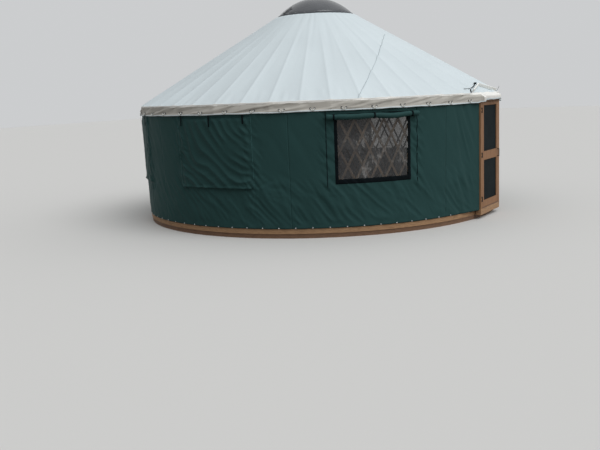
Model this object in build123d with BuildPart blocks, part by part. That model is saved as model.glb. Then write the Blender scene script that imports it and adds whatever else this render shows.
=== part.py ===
"""A fabric-covered yurt, 7.3 m across, on a round timber platform.

Millimetres. The origin is the centre of the platform's underside, +Z is up
and the door faces -Y. A lattice wall carries a cable, rafters and a centre ring
under a domed skylight. One screen door opens, and seven windows stay fixed.
"""
from build123d import *
from math import acos, asin, ceil, cos, degrees, dist, hypot, pi, radians, sin, sqrt, tan
import os

os.makedirs("parts", exist_ok=True)

# Clearances
fit_gap = 0.3
door_gap = 5.0

# Round platform
platform_radius = 3655.0
skirt_height = 80.0
skirt_thickness = 19.0
skirt_setback = 14.0
rim_height = 110.0
rim_thickness = 18.0
boards_round = 15
deck_thickness = 28.0
joist_pitch = 406.0
joist_width = 38.0

# Wall: the cover laps over the platform's edge and leans out as it rises
bay_count = 45
facets_per_bay = 2
wall_height = 2133.0
wall_lean = 1.1
cover_thickness = 4.0
cover_lap = 20.0
slat_thickness = 9.0
slat_width = 38.0
diamonds_high = 4
diamonds_per_bay = 2
lattice_sections = 6
cable_size = 8.0

# Roof: a cover on straight rafters, drawn in to a flat lip round the skylight
eave_gap = 7.0
roof_pitch = 30.45
roof_top_radius = 845.0
ring_wall = 92.0
ring_depth = 180.0
lip_width = 80.0
rafter_depth = 89.0
rafter_width = 38.0
rafter_seat = 28.0
rafter_end_gap = 2.0
wall_head_clearance = 23.0

# Skylight
dome_setback = 63.0
dome_rise = 352.0
dome_thickness = 6.0
dome_steps = 4
crown_share = 0.3
skylight_rim_height = 26.0
skylight_rim_width = 60.0

# Valance below the eave, awning over the door and the rain bar above it
valance_drop = 173.0
valance_flare = 36.0
valance_thickness = 4.0
awning_reach = 130.0
awning_side_lap = 68.0
rain_bar_height = 55.0
rain_bar_thickness = 22.0
rain_bar_top_setback = 225.0
rain_bar_foot_setback = 40.0
rain_bar_spread = 9.8

# Windows: one every eighth of a turn from the door
window_count = 7
window_spacing = 45.0
window_half_angle = 9.65
window_sill = 800.0
window_head_drop = 253.0
pane_thickness = 2.0
flap_half_angle = 12.4
flap_foot_lap = 118.0
flap_head_lap = 30.0
flap_thickness = 4.0
roll_radius = 54.0
roll_drop = 60.0
roll_sides = 8
open_windows = (0, 5)

# Door frame, proud of the round wall, whose cover is drawn out flat to its sides
door_projection = 85.0
frame_half_width = 532.0
frame_depth = 160.0
jamb_width = 65.0
threshold_height = 18.0
header_depth = 83.0
fascia_depth = 42.0
fascia_drop = 45.0
jamb_reveal = 35.0
flat_facets = 4

# Screen door leaf
leaf_thickness = 35.0
stile_width = 100.0
bottom_rail = 122.0
top_rail = 60.0
mid_rail_rise = 900.0
mid_rail_height = 160.0
screen_thickness = 3.0

# Door hinges and handle
hinge_foot_rise = 180.0
hinge_head_drop = 150.0
hinge_length = 96.0
knuckle_radius = 7.0
knuckle_sides = 8
pin_radius = 3.5
pin_clearance = 0.1
plate_width = 34.0
plate_thickness = 3.0
handle_rise = 980.0
handle_length = 150.0
handle_reach = 42.0
handle_thickness = 12.0

# Heights and radii that follow from those above
door_azimuth = -90.0
deck_top = skirt_height + rim_height
eave_height = deck_top + wall_height
cover_foot = deck_top - cover_lap
cover_head = eave_height - wall_head_clearance
bay_angle = 360.0 / bay_count
wall_sides = bay_count * facets_per_bay
facet_angle = 360.0 / wall_sides
cover_inner_foot = platform_radius + fit_gap


def cover_inner(z):
    """Radius of the wall cover's inner face at height z."""
    return cover_inner_foot + (z - cover_foot) * tan(radians(wall_lean))


def facet_share(turn):
    """How far in a wall facet lies at a turn from the door, as a share of its corners' radius."""
    past = turn % facet_angle - facet_angle / 2
    return cos(radians(facet_angle / 2)) / cos(radians(past))


eave_radius = (cover_inner(cover_head) + cover_thickness + eave_gap) / cos(radians(bay_angle / 2))
roof_slope = tan(radians(roof_pitch))
roof_drop = cover_thickness / cos(radians(roof_pitch))
roof_top_z = eave_height + (eave_radius - roof_top_radius) * roof_slope
lip_underside = roof_top_z - roof_drop
hem_z = eave_height - roof_drop
valance_foot = hem_z - valance_drop
ring_radius = roof_top_radius * cos(radians(bay_angle / 2)) - fit_gap
dome_radius = roof_top_radius - dome_setback


def roof_outside(r):
    """Height of the roof cover's outer face along a rafter."""
    return eave_height + (eave_radius - r) * roof_slope


# A rafter lies under a ridge of the cover, whose sides fall away across its width
ridge_drop = rafter_width / 2 * tan(radians(bay_angle / 2)) * roof_slope
rafter_tail = cover_inner(cover_head) - rafter_end_gap
rafter_seat_start = rafter_tail - rafter_seat


def rafter_top(r):
    return roof_outside(r) - roof_drop - ridge_drop - fit_gap


rafter_seat_z = rafter_top(rafter_seat_start) - rafter_depth / cos(radians(roof_pitch))
lattice_top = rafter_seat_z - cable_size

window_bottom = deck_top + window_sill
window_top = eave_height - window_head_drop
flap_bottom = window_bottom - flap_foot_lap
flap_top = window_top + flap_head_lap
roll_height = flap_top - roll_drop
door_face = platform_radius + door_projection
header_bottom = rafter_seat_z - header_depth


def save(piece, name):
    """Label a finished piece and write it out as one STEP file."""
    piece.label = name
    export_step(piece, f"parts/{name}.step")


def upright_plane(azimuth, radius=0, height=0):
    """Upright plane at a point of the round: x points outwards there, y points up."""
    a = radians(azimuth)
    outwards = Vector(cos(a), sin(a), 0)
    return Plane(origin=radius * outwards + Vector(0, 0, height), x_dir=outwards, z_dir=(sin(a), -cos(a), 0))


def corners(radius, sides):
    """Corner points of a many-sided outline, with one corner at each rafter."""
    angles = [radians(door_azimuth + i * 360 / sides) for i in range(sides)]
    return [(radius * cos(a), radius * sin(a)) for a in angles]


def faceted_solid(sections, sides=bay_count):
    """Many-sided solid with flat facets, through (radius, height) pairs."""
    rounds = [[(x, y, z) for x, y in corners(radius, sides)] for radius, z in sections]
    outlines = [rounds[0][::-1], rounds[-1]]
    for low, high in zip(rounds, rounds[1:]):
        outlines += [[low[i - 1], low[i], high[i], high[i - 1]] for i in range(sides)]
    return Solid(Shell([Face(Wire.make_polygon(points)) for points in outlines]))


def run_through(outlines):
    """Solid through flat outlines of as many points each, which run anticlockwise seen from the last.

    Each side from one outline to the next is two flat facets that meet on its shorter diagonal.
    """
    faces = [outlines[0][::-1], outlines[-1]]
    for near, far in zip(outlines, outlines[1:]):
        for i in range(len(near)):
            a, b, c, d = near[i - 1], near[i], far[i], far[i - 1]
            if dist(a, c) < dist(b, d):
                faces += [[a, b, c], [a, c, d]]
            else:
                faces += [[a, b, d], [b, c, d]]
    return Solid(Shell([Face(Wire.make_polygon(points)) for points in faces]))


def faceted_shell(outer, inner, sides=bay_count):
    """What lies between two faceted solids, each given by its (radius, height) pairs."""
    with BuildPart() as shell:
        add(faceted_solid(outer, sides))
        add(faceted_solid(inner, sides), mode=Mode.SUBTRACT)
    return shell.part


def ring(outer, inner, bottom, height, sides=bay_count):
    """Upright ring with level faces."""
    levels = (bottom, bottom + height)
    return faceted_shell([(outer, z) for z in levels], [(inner, z) for z in levels], sides)


def wall_shell(offset, thickness, bottom, top):
    """Leaning shell all round the wall, offset outwards from the cover's inner face."""
    inner = [(cover_inner(z) + offset, z) for z in (bottom, top)]
    return faceted_shell([(r + thickness, z) for r, z in inner], inner, wall_sides)


def wedge(azimuth, half_angle, bottom, top):
    """Slice of the round from its axis outwards, between two heights."""
    sides = [radians(azimuth + side * half_angle) for side in (-1, 1)]
    with BuildPart() as piece:
        with BuildSketch(Plane.XY.offset(bottom)):
            Polygon((0, 0), *[(2 * eave_radius * cos(a), 2 * eave_radius * sin(a)) for a in sides], align=None)
        extrude(amount=top - bottom)
    return piece.part


def wall_piece(shell, azimuth, half_angle, bottom, top):
    """The stretch of a wall shell that lies in one wedge."""
    with BuildPart() as piece:
        add(shell)
        add(wedge(azimuth, half_angle, bottom, top), mode=Mode.INTERSECT)
    return piece.part


# The doorway, as wide as the frame, is kept clear of wall, lattice and cable
with BuildPart() as doorway:
    with BuildSketch(Plane.XY):
        with Locations((0, -door_face)):
            Rectangle(2 * (frame_half_width + fit_gap), 2 * door_face / 3)
    extrude(amount=roof_top_z)


# Platform: the skirt and the rim are boards bent round it, end to end
skirt_outer = platform_radius - skirt_setback
skirt_inner = skirt_outer - skirt_thickness
rim_inner = platform_radius - rim_thickness


def bent_boards(outer, inner, bottom, height):
    """Ring cut into equal boards by a hairline at each joint."""
    with BuildPart() as boards:
        add(ring(outer, inner, bottom, height, wall_sides))
        for i in range(boards_round):
            azimuth = door_azimuth + i * 360 / boards_round
            with Locations(upright_plane(azimuth, outer, bottom + height / 2)):
                Box(outer / 2, 2 * height, fit_gap, mode=Mode.SUBTRACT)
    return boards.part


save(bent_boards(skirt_outer, skirt_inner, 0, skirt_height), "platform_skirt")
save(bent_boards(platform_radius, rim_inner, skirt_height, rim_height), "platform_rim")

with BuildPart() as deck:
    with BuildSketch(Plane.XY.offset(deck_top - deck_thickness)):
        Polygon(*corners(rim_inner - fit_gap, wall_sides), align=None)
    extrude(amount=deck_thickness)
save(deck.part, "platform_deck")

joist_reach = skirt_inner * cos(pi / wall_sides) - fit_gap
joist_count = 2 * int((joist_reach - joist_width) / joist_pitch) + 1
with BuildPart() as joists:
    for i in range(joist_count):
        y = (i - (joist_count - 1) / 2) * joist_pitch
        reach = sqrt(joist_reach**2 - (abs(y) + joist_width / 2) ** 2)
        with BuildSketch(Plane.XY):
            with Locations((0, y)):
                Rectangle(2 * reach, joist_width)
        extrude(amount=deck_top - deck_thickness)
save(joists.part, "platform_joists")

# Block that carries the door frame in front of the round rim
with BuildPart() as landing:
    with BuildSketch(Plane.XY.offset(skirt_height)):
        with Locations((0, -door_face)):
            Rectangle(2 * frame_half_width, door_face - rim_inner, align=(Align.CENTER, Align.MIN))
        Polygon(*corners(platform_radius + fit_gap, wall_sides), align=None, mode=Mode.SUBTRACT)
    extrude(amount=rim_height)
save(landing.part, "door_landing")


# Lattice wall: slats in two layers, bent at each rafter, crossing in tall diamonds
lattice_bottom = deck_top
lattice_height = lattice_top - lattice_bottom
lattice_mid_z = (lattice_bottom + lattice_top) / 2
bays_crossed = diamonds_high / diamonds_per_bay
bay_chord = 2 * cover_inner(lattice_mid_z) * sin(radians(bay_angle / 2))
slat_tilt = degrees(acos(lattice_height / hypot(lattice_height, bays_crossed * bay_chord)))


def slat(layer, hand, offset):
    """One slat by the door's middle, on layer 0 outside or 1 inside, leaning by its hand.

    offset is the share of a bay between the slat's middle and a rafter.
    """
    depth = fit_gap + layer * (slat_thickness + fit_gap)
    levels = (lattice_bottom, lattice_top)
    outer = [(cover_inner(z) - depth, z) for z in levels]
    inner = [(r - slat_thickness, z) for r, z in outer]
    azimuth = door_azimuth + offset * bay_angle
    radius = cover_inner(lattice_mid_z)
    with BuildPart() as board:
        add(faceted_shell(outer, inner))
        with Locations(upright_plane(azimuth, radius, lattice_mid_z) * Rot(hand * slat_tilt, 0, 0)):
            Box(radius / 4, 2 * lattice_height, slat_width, mode=Mode.INTERSECT)
    return board.part


slat_steps = diamonds_per_bay * bay_count
slat_kinds = {
    (layer, step % diamonds_per_bay): slat(
        layer, 1 if layer else -1, (step % diamonds_per_bay) / diamonds_per_bay
    )
    for layer in (0, 1)
    for step in range(diamonds_per_bay)
}
door_steps = diamonds_per_bay * (bays_crossed / 2 + 1) + 1
steps_per_section = ceil(slat_steps / lattice_sections)

for section in range(lattice_sections):
    slats = []
    first = section * steps_per_section
    for step in range(first, min(first + steps_per_section, slat_steps)):
        for layer in (0, 1):
            kind = slat_kinds[layer, step % diamonds_per_bay]
            piece = Rotation(0, 0, step // diamonds_per_bay * bay_angle) * kind
            if min(step, slat_steps - step) < door_steps:
                piece = piece - doorway.part
            slats += piece.solids()
    save(Compound(children=slats), f"lattice_{section + 1}")

# Tension cable, straight from rafter to rafter along the lattice's top
cable_outer = cover_inner(lattice_top) - fit_gap - slat_thickness / 2
cable_inner = cable_outer - cable_size
with BuildPart() as cable:
    with BuildSketch(Plane.XY.offset(lattice_top)):
        Polygon(*corners(cable_outer, bay_count), align=None)
        Polygon(*corners(cable_inner, bay_count), align=None, mode=Mode.SUBTRACT)
    extrude(amount=cable_size)
    add(doorway.part, mode=Mode.SUBTRACT)
save(cable.part, "tension_cable")


# Rafters run from the centre ring down to a flat seat over the cable
with BuildPart() as rafters:
    with BuildSketch(upright_plane(door_azimuth)) as rafter_side:
        head = roof_top_radius
        depth = rafter_depth / cos(radians(roof_pitch))
        Polygon(
            (head, rafter_top(head) - depth),
            (rafter_seat_start, rafter_seat_z),
            (rafter_tail, rafter_seat_z),
            (rafter_tail, rafter_top(rafter_tail)),
            (head, rafter_top(head)),
            align=None,
        )
    extrude(amount=rafter_width / 2, both=True)
rafter_set = [Rotation(0, 0, i * bay_angle) * rafters.part for i in range(bay_count)]
save(Compound(children=[r.solid() for r in rafter_set]), "rafters")

# Centre ring
centre_ring = ring(ring_radius, ring_radius - ring_wall, lip_underside - fit_gap - ring_depth, ring_depth)
save(centre_ring, "centre_ring")

# Roof cover: a faceted shell with a short hem at the eave and a flat lip on the ring
with BuildPart() as roof:
    add(faceted_shell(
        [(eave_radius, hem_z), (eave_radius, eave_height), (roof_top_radius, roof_top_z)],
        [(eave_radius, hem_z), (roof_top_radius, lip_underside)],
    ))
    with BuildSketch(Plane.XY.offset(lip_underside)):
        Polygon(*corners(roof_top_radius - lip_width, bay_count), align=None)
    extrude(amount=roof_drop, mode=Mode.SUBTRACT)
save(roof.part, "roof_cover")

# Awning: over the door the cover runs on down its slope instead of turning down
awning_half_width = frame_half_width + awning_side_lap
awning_radius = eave_radius + awning_reach
awning_edge = roof_outside(awning_radius)
with BuildPart() as awning:
    add(faceted_shell(
        [(awning_radius, awning_edge - roof_drop), (awning_radius, awning_edge), (eave_radius, eave_height)],
        [(awning_radius, awning_edge - roof_drop), (eave_radius, hem_z)],
    ))
    with BuildSketch(Plane.XY.offset(hem_z - awning_reach)):
        Polygon(*corners(eave_radius, bay_count), align=None)
    extrude(amount=2 * awning_reach, mode=Mode.SUBTRACT)
    with Locations((0, -awning_radius, eave_height)):
        Box(2 * awning_half_width, awning_radius, 2 * awning_reach, mode=Mode.INTERSECT)
save(awning.part, "door_awning")

# Valance, hung from the eave all round up to the door frame's sides
with BuildPart() as valance:
    outside = [(eave_radius + valance_flare, valance_foot), (eave_radius, hem_z)]
    add(faceted_shell(outside, [(r - valance_thickness, z) for r, z in outside]))
    with Locations((0, -eave_radius, valance_foot)):
        Box(2 * (frame_half_width + fit_gap), eave_radius / 2, 4 * valance_drop, mode=Mode.SUBTRACT)
save(valance.part, "roof_valance")


# Rain bar: two low bars in a shallow peak, laid on the cover above the door
def on_roof(azimuth, radius):
    a = radians(azimuth)
    return Vector(radius * cos(a), radius * sin(a), roof_outside(radius))


rain_bar_top = on_roof(door_azimuth, eave_radius - rain_bar_top_setback)
with BuildPart() as rain_bar:
    for side in (-1, 1):
        foot = on_roof(door_azimuth + side * rain_bar_spread, eave_radius - rain_bar_foot_setback)
        along = foot - rain_bar_top
        uphill = Vector(0, sin(radians(roof_pitch)), cos(radians(roof_pitch)))
        across = along.cross(Vector(0, -uphill.Y, uphill.Z)) * side
        with Locations(Plane(origin=rain_bar_top, x_dir=along, z_dir=along.cross(across) * side)):
            Box(
                along.length,
                rain_bar_thickness,
                2 * rain_bar_height,
                align=(Align.MIN, Align.CENTER, Align.CENTER),
            )
    lift = fit_gap / cos(radians(roof_pitch))
    under = [(eave_radius, deck_top), (eave_radius, eave_height + lift), (roof_top_radius, roof_top_z + lift)]
    add(faceted_solid(under), mode=Mode.SUBTRACT)
save(rain_bar.part, "rain_bar")

# Skylight: a curb on the roof cover's lip and a dome on the curb
curb_outer = dome_radius + dome_thickness
save(
    ring(curb_outer, curb_outer - skylight_rim_width, roof_top_z + fit_gap, skylight_rim_height),
    "skylight_curb",
)
dome_foot = roof_top_z + fit_gap + skylight_rim_height


def dome_profile(radius, rise):
    """(radius, height) pairs of a low dome from its foot up to a small flat crown."""
    sphere = (radius**2 + rise**2) / (2 * rise)
    lean = asin(radius / sphere)
    angles = [lean * (1 - i / (dome_steps + crown_share)) for i in range(dome_steps + 1)]
    return [(sphere * sin(a), dome_foot + rise - sphere * (1 - cos(a))) for a in angles]


outside = dome_profile(dome_radius, dome_rise)
inside = dome_profile(dome_radius - dome_thickness, dome_rise - dome_thickness)
save(faceted_shell(outside, inside), "skylight_dome")


# Wall cover: one panel to each window and a plain panel each side of the door
half_sector = window_spacing / 2
window_azimuths = [door_azimuth - (i + 1) * window_spacing for i in range(window_count)]
cover = wall_shell(0, cover_thickness, cover_foot, cover_head)
for i, azimuth in enumerate(window_azimuths):
    with BuildPart() as panel:
        add(wall_piece(cover, azimuth, half_sector, cover_foot, cover_head))
        add(wedge(azimuth, window_half_angle, window_bottom, window_top), mode=Mode.SUBTRACT)
    save(panel.part, f"wall_cover_{i + 1}")

def cover_section(side, turn):
    """Upright section of the cover on the round wall, at a turn to one side of the door."""
    share = facet_share(turn)
    turn = radians(turn)
    foot, head = (cover_inner(z) for z in (cover_foot, cover_head))
    spots = (
        (foot, cover_foot),
        (foot + cover_thickness, cover_foot),
        (head + cover_thickness, cover_head),
        (head, cover_head),
    )
    return [(side * r * share * sin(turn), -r * share * cos(turn), z) for r, z in spots]


last_corner = int(half_sector / facet_angle)
for side, name in ((-1, "wall_cover_door_left"), (1, "wall_cover_door_right")):
    x = side * (frame_half_width + fit_gap)
    y = jamb_reveal - door_face
    jamb_head = valance_foot - cover_thickness
    at_jamb = [
        (x, y, cover_foot),
        (x, y - cover_thickness, cover_foot),
        (x, y - cover_thickness, jamb_head),
        (x, y, jamb_head),
    ]
    round_turns = [half_sector, *[i * facet_angle for i in range(last_corner, flat_facets - 1, -1)]]
    outlines = [*[cover_section(side, turn) for turn in round_turns], at_jamb]
    save(run_through(outlines[::side]), name)

# Clear vinyl panes, flush in the cover with a hairline gap
gap_angle = degrees(fit_gap / cover_inner_foot)
pane_low = window_bottom + fit_gap
pane_high = window_top - fit_gap
sheet = wall_shell((cover_thickness - pane_thickness) / 2, pane_thickness, pane_low, pane_high)
panes = [
    wall_piece(sheet, azimuth, window_half_angle - gap_angle, pane_low, pane_high).solid()
    for azimuth in window_azimuths
]
save(Compound(children=panes), "window_panes")

# Storm flaps: down over most windows, rolled up under the eave on two
flap_sheet = wall_shell(cover_thickness + fit_gap, flap_thickness, flap_bottom, flap_top)
closed_flaps = [
    wall_piece(flap_sheet, azimuth, flap_half_angle, flap_bottom, flap_top).solid()
    for i, azimuth in enumerate(window_azimuths)
    if i not in open_windows
]
save(Compound(children=closed_flaps), "closed_flaps")

roll_offset = (roll_radius + fit_gap) / cos(radians(facet_angle / 2))
roll_centre = cover_inner(roll_height) + cover_thickness + roll_offset


def roll_section(turn):
    """Many-sided section of a rolled flap, upright at a turn from the door."""
    across = upright_plane(door_azimuth + turn, roll_centre * facet_share(turn), roll_height)
    angles = [2 * pi * i / roll_sides for i in range(roll_sides)]
    return [
        across.from_local_coords(Vector(roll_radius * cos(a), roll_radius * sin(a), 0))
        for a in angles
    ]


rolls = []
for i in open_windows:
    middle = window_azimuths[i] - door_azimuth
    first, last = middle - flap_half_angle, middle + flap_half_angle
    inner_corners = range(ceil(first / facet_angle), int(last // facet_angle) + 1)
    turns = [first, *[corner * facet_angle for corner in inner_corners], last]
    rolls.append(run_through([roll_section(turn) for turn in reversed(turns)]))
save(Compound(children=rolls), "rolled_flaps")


# Door frame
frame_back = door_face - frame_depth
opening_half = frame_half_width - jamb_width
for side, name in ((-1, "door_jamb_left"), (1, "door_jamb_right")):
    with BuildPart() as jamb:
        with BuildSketch(Plane.XY.offset(deck_top)):
            with Locations((side * (opening_half + jamb_width / 2), -(door_face + frame_back) / 2)):
                Rectangle(jamb_width, frame_depth)
        extrude(amount=header_bottom - deck_top)
    save(jamb.part, name)

with BuildPart() as threshold:
    with BuildSketch(Plane.XY.offset(deck_top)):
        with Locations((0, -(door_face + frame_back) / 2)):
            Rectangle(2 * opening_half, frame_depth)
    extrude(amount=threshold_height)
save(threshold.part, "door_threshold")

with BuildPart() as header:
    with BuildSketch(Plane.YZ):
        Polygon(
            (-door_face, header_bottom),
            (-frame_back, header_bottom),
            (-frame_back, rafter_seat_z),
            (-door_face + fascia_depth, rafter_seat_z),
            (-door_face + fascia_depth, eave_height - fascia_drop),
            (-door_face, eave_height - fascia_drop),
            align=None,
        )
    extrude(amount=frame_half_width, both=True)
save(header.part, "door_header")

# Screen door leaf: stiles and rails round two screens
leaf_half = opening_half - door_gap
leaf_bottom = deck_top + threshold_height + door_gap
leaf_top = header_bottom - door_gap
screen_half = leaf_half - stile_width
mid_rail_bottom = deck_top + mid_rail_rise
screen_spans = (
    ("lower_screen", leaf_bottom + bottom_rail, mid_rail_bottom),
    ("upper_screen", mid_rail_bottom + mid_rail_height, leaf_top - top_rail),
)
front = Plane(origin=(0, -door_face, 0), x_dir=(1, 0, 0), z_dir=(0, -1, 0))

with BuildPart() as leaf:
    with BuildSketch(front):
        with Locations((0, (leaf_bottom + leaf_top) / 2)):
            Rectangle(2 * leaf_half, leaf_top - leaf_bottom)
        for name, low, high in screen_spans:
            with Locations((0, (low + high) / 2)):
                Rectangle(2 * screen_half, high - low, mode=Mode.SUBTRACT)
    extrude(amount=-leaf_thickness)
save(leaf.part, "door_leaf")

for name, low, high in screen_spans:
    with BuildPart() as screen:
        with BuildSketch(front.offset(-(leaf_thickness - screen_thickness) / 2)):
            with Locations((0, (low + high) / 2)):
                Rectangle(2 * screen_half, high - low)
        extrude(amount=-screen_thickness)
    save(screen.part, name)

# Hinges: outer knuckles and the pin on the jamb, the middle knuckle on the leaf
hinge_x = -(leaf_half + door_gap / 2)
hinge_y = -(door_face + knuckle_radius)
hinge_low = deck_top + hinge_foot_rise
hinge_high = header_bottom - hinge_head_drop
knuckle_length = hinge_length / 3


def hinge_plate(x_low, x_high, middle, length):
    """Flat plate on the front face, from x_low to x_high."""
    with BuildPart() as plate:
        with BuildSketch(front):
            with Locations(((x_low + x_high) / 2, middle)):
                Rectangle(x_high - x_low, length)
        extrude(amount=plate_thickness)
    return plate.part


def hinge_line(middle, length):
    """Level plane at the foot of a length of the hinge line."""
    return Plane(origin=(hinge_x, hinge_y, middle - length / 2))


def knuckle(middle, length):
    """Upright barrel with flat sides on the hinge line."""
    with BuildPart() as barrel:
        with BuildSketch(hinge_line(middle, length)):
            RegularPolygon(knuckle_radius, knuckle_sides)
        extrude(amount=length)
    return barrel.part


def pin(middle, length, radius):
    """Round pin, or the bore for one, on the hinge line."""
    with BuildPart() as rod:
        with BuildSketch(hinge_line(middle, length)):
            Circle(radius)
        extrude(amount=length)
    return rod.part


frame_hinges = []
leaf_hinges = []
for middle in (hinge_low, (hinge_low + hinge_high) / 2, hinge_high):
    third = knuckle_length - door_gap / 4
    with BuildPart() as fixed:
        for end in (-1, 1):
            add(knuckle(middle + end * knuckle_length, third))
            add(hinge_plate(
                hinge_x - plate_width, hinge_x, middle + end * knuckle_length, third,
            ))
        add(pin(middle, hinge_length - 2 * pin_radius, pin_radius))
    frame_hinges.append(fixed.part.solid())
    with BuildPart() as moving:
        add(knuckle(middle, third))
        add(hinge_plate(hinge_x, hinge_x + plate_width, middle, third))
        add(pin(middle, hinge_length, pin_radius + pin_clearance), mode=Mode.SUBTRACT)
    leaf_hinges.append(moving.part.solid())
save(Compound(children=frame_hinges), "hinge_frame_plates")
save(Compound(children=leaf_hinges), "hinge_leaf_plates")

# Pull handle on the free stile
with BuildPart() as handle:
    with Locations((leaf_half - stile_width / 2, -door_face, deck_top + handle_rise)):
        Box(handle_thickness, handle_reach, handle_length, align=(Align.CENTER, Align.MAX, Align.CENTER))
        with Locations((0, handle_thickness, 0)):
            Box(
                handle_thickness,
                handle_reach,
                handle_length - 2 * handle_thickness,
                align=(Align.CENTER, Align.MAX, Align.CENTER),
                mode=Mode.SUBTRACT,
            )
save(handle.part, "door_handle")
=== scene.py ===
"""Finish of a fabric-covered yurt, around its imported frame.

Metres, in the frame's own axes: +Z is up and the door faces -Y. A turn is an angle round
the wall from the door, in degrees, and grows to the right as the wall is seen from outside.
"""
from math import cos, degrees, hypot, pi, radians, sin

import bmesh
import bpy
import numpy as np
from mathutils import Matrix, Vector


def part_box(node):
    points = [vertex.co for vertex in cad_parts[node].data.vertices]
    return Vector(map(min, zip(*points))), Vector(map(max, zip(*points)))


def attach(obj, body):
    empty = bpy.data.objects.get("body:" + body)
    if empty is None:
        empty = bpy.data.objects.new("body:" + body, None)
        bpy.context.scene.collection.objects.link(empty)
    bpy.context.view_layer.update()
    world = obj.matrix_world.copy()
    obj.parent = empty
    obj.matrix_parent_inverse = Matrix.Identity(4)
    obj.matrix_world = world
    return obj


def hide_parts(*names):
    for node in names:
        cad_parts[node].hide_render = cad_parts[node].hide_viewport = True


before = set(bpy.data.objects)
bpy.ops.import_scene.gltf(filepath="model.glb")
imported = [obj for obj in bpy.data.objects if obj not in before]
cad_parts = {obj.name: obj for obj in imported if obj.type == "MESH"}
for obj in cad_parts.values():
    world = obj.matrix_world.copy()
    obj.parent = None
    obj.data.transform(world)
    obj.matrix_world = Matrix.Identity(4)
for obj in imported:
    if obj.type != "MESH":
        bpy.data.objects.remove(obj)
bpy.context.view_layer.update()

# The frame's own sizes. roof_slope is the roof's rise for each metre inwards
cover_stand_off = 0.0043
roof_slope = 0.5879
roof_cover_depth = 0.0046
wall_foot, wall_head = (corner.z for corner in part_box("wall_cover_4"))
foot_radius = -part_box("platform_rim")[0].y + cover_stand_off
head_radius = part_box("wall_cover_4")[1].y
wall_slope = (head_radius - foot_radius) / (wall_head - wall_foot)
eave_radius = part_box("roof_cover")[1].y
eave_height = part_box("roof_cover")[0].z + roof_cover_depth
roof_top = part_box("roof_cover")[1].z
roof_top_radius = eave_radius - (roof_top - eave_height) / roof_slope
valance_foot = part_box("roof_valance")[0].z
valance_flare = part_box("roof_valance")[1].y - eave_radius
awning_radius = -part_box("door_awning")[0].y
window_low, window_high = (corner.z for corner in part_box("window_panes"))
flap_low, flap_high = (corner.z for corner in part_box("closed_flaps"))
roll_low, roll_high = (corner.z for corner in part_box("rolled_flaps"))
roll_middle = (roll_low + roll_high) / 2
frame_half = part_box("door_header")[1].x
door_front = -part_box("door_header")[0].y
dome_foot, dome_top = (corner.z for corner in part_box("skylight_dome"))
dome_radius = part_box("skylight_dome")[1].y

# Layout round the wall
bays = 45
bay_turn = 360 / bays
panel_half_turn = 22.5
window_turns = [-2 * panel_half_turn * (i + 1) for i in range(7)]
open_windows = (0, 5)
window_half_turn = 9.65
border_half_turn = 10.45
border_depth = 0.075
flap_half_turn = 12.4
strap_turns = (-10.5, 0, 10.5)
seam_height = 0.74

# By the door the cover is flat from flat_turn to flat_end_turn, and ends on the frame at jamb_x, jamb_y
flat_turn = 16.0
flat_end_turn = 8.16
jamb_reveal = 0.035
jamb_x = frame_half + 0.001
jamb_y = door_front - jamb_reveal + 0.004

# Cloth. The wall hangs calmest about calm_turn, and flap_slack is each flap's share of folds
cloth_thickness = 0.0012
flap_thickness = 0.0016
web_thickness = 0.002
roll_web_thickness = 0.0022
web_half_turn = 0.2
fold_pitch = 0.17
seam_width = 0.022
seam_rise = 0.0016
calm_turn = -122
calm_reach = 32
flap_slack = (1.0, 1.0, 0.45, 0.5, 0.45, 0.7, 0.6)
flap_stand_off = 0.004
roll_stand_off = 0.008
roll_core = 0.010
foot_screw_count = 78

# Roof. lap_end, tie_gap and far_side are distances aside of the door's middle, the last for the back.
# weld_route gives turns and radii
roof_pitch = np.arctan(roof_slope)
lip_width = 0.079
far_side = 9.0
rafter_half_width = 0.019
bay_sag = 0.017
rafter_crest = 0.006
weld_route = ((-4.0, 1.65), (-23.6, 2.09), (-34.7, 2.58), (-43.2, 3.14), (-48.9, 3.68))
tie_shift = -0.75
tie_gap = 0.78
lap_end = 0.42
lap_rise = 0.018
bunch_width = 0.05
hem_rows = 7
eave_round = 0.012
shade_line = 0.024
rafter_clearance = 0.005
hem_depth = 0.020
eyelet_spacing = 0.074
eyelet_rise = 0.050
knot_rise = 0.006
gather_depth = 0.010
gather_pitch = 0.055
flick_out = 0.055

# The rain bar's webbing on each side: turns, and level distances in from the eave
webbing_half = 0.011
shared_web = ((0.6, 0.262), (3.7, 0.205), (6.1, 0.166), (8.2, 0.128))
long_tail = (shared_web[2], (8.6, 0.140), (9.9, 0.142), (11.4, 0.154))
short_tail = (shared_web[3], (9.7, 0.080), (11.1, 0.010))

# Dome
dome_sides = 96
dome_thickness = 0.005
dome_screw_count = 24
rib_turn = -118.0

# The awning in section: share of the way, distance out and height, both from the frame's awning edge
awning_path = (
    (0.00, eave_radius - awning_radius, roof_slope * (awning_radius - eave_radius)),
    (0.45, -0.046, 0.058),
    (0.60, -0.014, 0.043),
    (0.70, -0.002, 0.024),
    (1.00, -0.001, -0.046),
)

# Camera: its place, the way it faces and its tilt
camera_place = Vector((-14.114, -8.447, 2.431))
camera_heading = 32.68
camera_dip = 9.71
camera_roll = 2.456
camera_lens = 45.69
sensor_width = 36

# Light: a sky that is brightest above the door's side, and a soft sun
sky_side = (0.10, -0.40, 0.90)
sky_strength = 0.95
sky_dark = (0.125, 0.13, 0.135)
sky_bright_from = 0.85
key_side = (-0.12, -0.60, 0.80)
key_strength = 1.1
key_angle = 45
floor_half = 70
floor_colour = (0.62, 0.62, 0.61)
floor_bounce = (0.22, 0.20, 0.18)
backdrop_colour = (0.60, 0.61, 0.62)


# Smooth noise

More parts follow.
